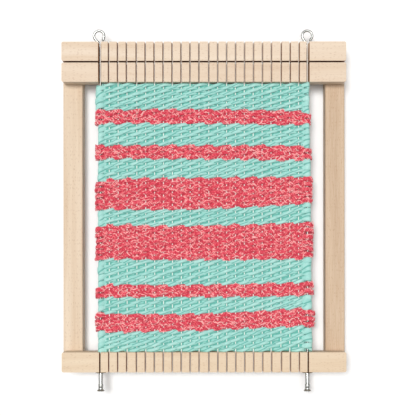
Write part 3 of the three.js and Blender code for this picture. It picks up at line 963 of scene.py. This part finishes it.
def row_line(stripe, row, rows, number, sway, chance):
    """One row of weft from left to right, in front of each second warp thread."""
    x = np.linspace(-ROD_X, ROD_X, ROW_POINTS)
    index = np.interp(x, SLOTS, np.arange(SLOT_COUNT))
    phase = math.pi * (index + number + 1)
    reach = THREAD_RADIUS + WEFT_HALF_DEPTH - WEFT_BITE
    edge_front = WARP_Z + reach
    edge_back = ROD_Z - ROD_RADIUS - WEFT_HALF_DEPTH
    inner = smooth_step(np.minimum(index, SLOT_COUNT - 1 - index))
    middle = (edge_front + edge_back) / 2 * (1 - inner) + WARP_Z * inner
    swing = (edge_front - edge_back) / 2 * (1 - inner) + reach * inner
    share = (row + 0.5) / rows
    level = seam_height(stripe, x) * (1 - share) + seam_height(stripe + 1, x) * share
    y = level + sway * np.sin(phase) * inner + 0.28 * wander(chance, len(x), 38)
    z = middle + swing * np.cos(phase) + 0.07 * wander(chance, len(x), 30)
    return np.column_stack([x, y, z])


def edge_bulge(stripe, side):
    """How far a stripe's edge stands past the usual turn. Curly yarn swells and smooth yarn draws in."""
    is_coral = stripe % 2 == 1
    if side < 0:
        return 1.7 if is_coral else (1.2 if stripe == 0 else -0.9)
    return 0.33 * stripe if is_coral else 0.2 * stripe - 1.3


def selvedge_turn(start, end, side, bulge):
    """The yarn's way round the rod and the outermost warp thread, from the front to the back."""
    angles = np.linspace(math.pi / 2, -math.pi / 2, 16)[1:-1]
    share = smooth_step((math.pi / 2 - angles) / math.pi)
    half_height = (start[2] - end[2]) / 2
    centre = (start[2] + end[2]) / 2
    x = start[0] + side * (TURN_REACH + bulge) * np.cos(angles)
    y = start[1] * (1 - share) + end[1] * share
    z = centre + half_height * np.sin(angles)
    return np.column_stack([x, y, z])


def evenly(points, step):
    at = lengths_along(points)
    count = max(4, int(at[-1] / step))
    even = np.linspace(0, at[-1], count)
    return np.column_stack([np.interp(even, at, points[:, axis]) for axis in range(3)])


def weft_line(stripe, first_number, rows, sway, step, chance):
    """The middle of one stripe's yarn from its top row down, turning round a rod after each row."""
    parts = []
    for row in range(rows + 1):
        number = first_number + row
        line = row_line(stripe, min(row, rows - 0.6), rows, number, sway, chance)
        side = 1 if number % 2 == 0 else -1
        if side < 0:
            line = line[::-1]
        if row == rows:
            line = line[:START_POINTS]
        if row:
            bulge = edge_bulge(stripe, -side) + TURN_PLAY * chance.uniform(-1, 1)
            parts.append(selvedge_turn(parts[-1][-1], line[0], -side, bulge))
        parts.append(line)
    points = np.concatenate(parts)
    for _ in range(3):
        points[1:-1] = points[1:-1] * 0.5 + (points[:-2] + points[2:]) * 0.25
    return evenly(points, step)


def outwards_share(points):
    """0 over the cloth, 1 at the outermost bend round a rod."""
    return smooth_step((np.abs(points[:, 0]) - ROD_X + 7) / 6.5)


def teal_stripe(stripe, first_number, rows, chance):
    """The stripe's one yarn, its two plies twisting along it and opening out where it turns."""
    points = weft_line(stripe, first_number, rows, TEAL_SWAY, TEAL_STEP, chance)
    count = len(points)
    girth = 1 + 0.14 * wander(chance, count, 9)
    at_edge = outwards_share(points)
    row_height = (STRIPE_BOXES[stripe][1][1] - STRIPE_BOXES[stripe][0][1]) / rows
    width = TEAL_HALF_WIDTH * row_height / TEAL_ROW * girth * (1 + 0.7 * at_edge)
    depth = WEFT_HALF_DEPTH * girth * (1 - 0.2 * at_edge)
    along = lengths_along(points)
    turn = -2 * math.pi * along / TEAL_TWIST_LENGTH + 0.9 * wander(chance, count, 20)
    tone = 0.5 + 0.5 * wander(chance, count, 26)
    across = square_to(points, (0, 1, 0))
    return [tube(points, across, width, depth, TEAL_SIDES, turn, TEAL_LOBES, tone)]


def coral_strand(line, across, chance, number):
    """One curly strand thrown round the yarn's core, with loops that stand out of it."""
    count = len(line)
    spin = 0.6 * wander(chance, count, 7) + 0.75 * wander(chance, count, 3)
    spin += 0.2 * (1 if number % 2 else -1)
    angle = 2 * math.pi * number / CORAL_STRANDS + np.cumsum(spin)
    loops = np.clip(wander(chance, count, 4) - 0.4, 0, 1) * 1.2
    lift = CORAL_LIFT * (0.85 + 0.3 * wander(chance, count, 4)) + loops
    width = lift * np.cos(angle) * (1.7 + 0.35 * outwards_share(line))
    depth = lift * np.sin(angle) * 0.8
    slip = 0.9 * wander(chance, count, 3)
    along = directions(line)
    points = line + width[:, None] * across[0] + depth[:, None] * across[1] + slip[:, None] * along
    points[1:-1] = points[1:-1] * 0.6 + (points[:-2] + points[2:]) * 0.2
    radius = CORAL_STRAND * (1 + 0.25 * wander(chance, count, 9))
    # Painted highlight and shade: the further a strand stands out of the core the paler it is; the noise and
    # the odd strands' lift are the yarn's own mix.
    tone = 0.5 + 0.22 * (lift - 0.8) + 0.6 * wander(chance, count, 1.8)
    tone = tone + (0.16 if number % 2 else -0.04)
    return tube(points, carried_across(points), radius, radius, CORAL_SIDES, tone=tone)


def coral_stripe(stripe, first_number, rows, chance):
    """The stripe's curly strands, and the core that they are thrown round."""
    line = weft_line(stripe, first_number, rows, CORAL_SWAY, CORAL_STEP, chance)
    across = square_to(line, (0, 1, 0))
    tubes = [coral_strand(line, across, chance, number) for number in range(CORAL_STRANDS)]
    core = line[::3]
    core_across = (across[0][::3], across[1][::3])
    over = smooth_step((core[:, 2] - WARP_Z) / 1.2)
    width = CORAL_CORE * (1.35 + 0.6 * over)
    depth = CORAL_CORE * (0.9 - 0.35 * over)
    tubes.append(tube(core, core_across, width, depth, CORE_SIDES, tone=CORE_SHADE_TONE))
    return tubes


def make_weft(teal, coral):
    pieces = []
    number = 0
    for stripe, name in enumerate(STRIPES):
        low, high = STRIPE_BOXES[stripe]
        is_teal = name.endswith("teal")
        pitch = TEAL_ROW if is_teal else CORAL_ROW
        rows = max(2, round((high[1] - low[1]) / pitch))
        chance = np.random.default_rng(1400 + stripe)
        maker = teal_stripe if is_teal else coral_stripe
        mesh = yarn_mesh(name + "_yarn", maker(stripe, number, rows, chance))
        material = teal if is_teal else coral
        pieces.append(place_piece(name + "_yarn", mesh, material, "loom", [name]))
        number += rows
    return pieces


def ground_faces(columns, rows):
    """Faces of a closed sheet whose front points come first, row by row, and then its back points."""
    total = rows * columns
    faces = []
    for row in range(rows - 1):
        for column in range(columns - 1):
            a = row * columns + column
            b = total + a
            faces.append([a, a + 1, a + columns + 1, a + columns])
            faces.append([b, b + columns, b + columns + 1, b + 1])
    rim = [column for column in range(columns)]
    rim += [row * columns + columns - 1 for row in range(1, rows)]
    rim += [(rows - 1) * columns + column for column in range(columns - 2, -1, -1)]
    rim += [row * columns for row in range(rows - 2, 0, -1)]
    for index, here in enumerate(rim):
        after = rim[(index + 1) % len(rim)]
        faces.append([here, total + here, total + after, after])
    return faces


def ground_tone(grid_x, grid_y):
    """1 where the sheet lies in a coral stripe, 0 in a teal one."""
    tone = np.zeros(grid_x.shape)
    for stripe, name in enumerate(STRIPES):
        if name.endswith("coral"):
            inside = (grid_y < seam_height(stripe, grid_x)) & (grid_y > seam_height(stripe + 1, grid_x))
            tone[inside] = 1
    return tone.reshape(-1)


def make_ground(material):
    """The cloth's packed inside, a thin closed sheet in the plane of the warp, coloured darker as painted
    shade between the yarns.
    """
    half = ROD_X - GROUND_INSET
    top = STRIPE_BOXES[0][1][1] - GROUND_MARGIN
    bottom = STRIPE_BOXES[-1][0][1] + GROUND_MARGIN
    xs = np.linspace(-half, half, GROUND_COLUMNS)
    ys = np.linspace(bottom, top, GROUND_ROWS)
    chance = np.random.default_rng(77)
    swell = chance.uniform(-0.06, 0.06, (GROUND_ROWS, GROUND_COLUMNS))
    edge = np.minimum((half - np.abs(xs)) / 3, 1)[None, :] * np.minimum((top - ys) / 2, 1)[:, None]
    edge = edge * np.minimum((ys - bottom) / 2, 1)[:, None]
    thick = 0.08 + 0.34 * np.sqrt(np.clip(edge, 0, 1))
    middle = WARP_Z - GROUND_DROP
    grid_x, grid_y = np.meshgrid(xs, ys)
    front = np.stack([grid_x, grid_y, middle + thick + swell], 2).reshape(-1, 3)
    back = np.stack([grid_x, grid_y, middle - thick + swell], 2).reshape(-1, 3)
    mesh = bpy.data.meshes.new("packed_ground")
    points = (np.concatenate([front, back]) * MM).tolist()
    mesh.from_pydata(points, [], ground_faces(GROUND_COLUMNS, GROUND_ROWS))
    tone = ground_tone(grid_x, grid_y)
    shade = mesh.attributes.new("yarn_tone", "FLOAT", "POINT")
    shade.data.foreach_set("value", np.concatenate([tone, tone]).astype(np.float32))
    mesh.shade_smooth()
    mesh.update()
    ground = place_piece("packed_ground", mesh, material, "loom")


finish_timber()
finish_screws()
polished_steel = bare_metal(
    "polished_steel", linear(174, 175, 172), linear(160, 161, 158), (0.26, 0.31), (1.0, 0.06, 1.0), 2600.0
)
knurled_steel = bare_metal(
    "knurled_steel", linear(146, 146, 142), linear(126, 126, 122), (0.24, 0.3), (1.0, 1.0, 1.0), 1800.0
)
oxide_steel = bare_metal(
    "oxide_steel", linear(66, 56, 48), linear(44, 37, 32), (0.4, 0.55), (1.0, 1.0, 1.0), 1400.0
)
drawn_wire = bare_metal(
    "drawn_wire", linear(146, 147, 144), linear(128, 129, 126), (0.2, 0.26), (1.0, 0.06, 1.0), 2600.0
)
make_rods(drawn_wire)
make_sleeves(polished_steel, knurled_steel)
make_inserts(oxide_steel)
make_warp(cotton_thread())
yarns = make_weft(teal_yarn(), coral_yarn())
make_ground(packed_ground())
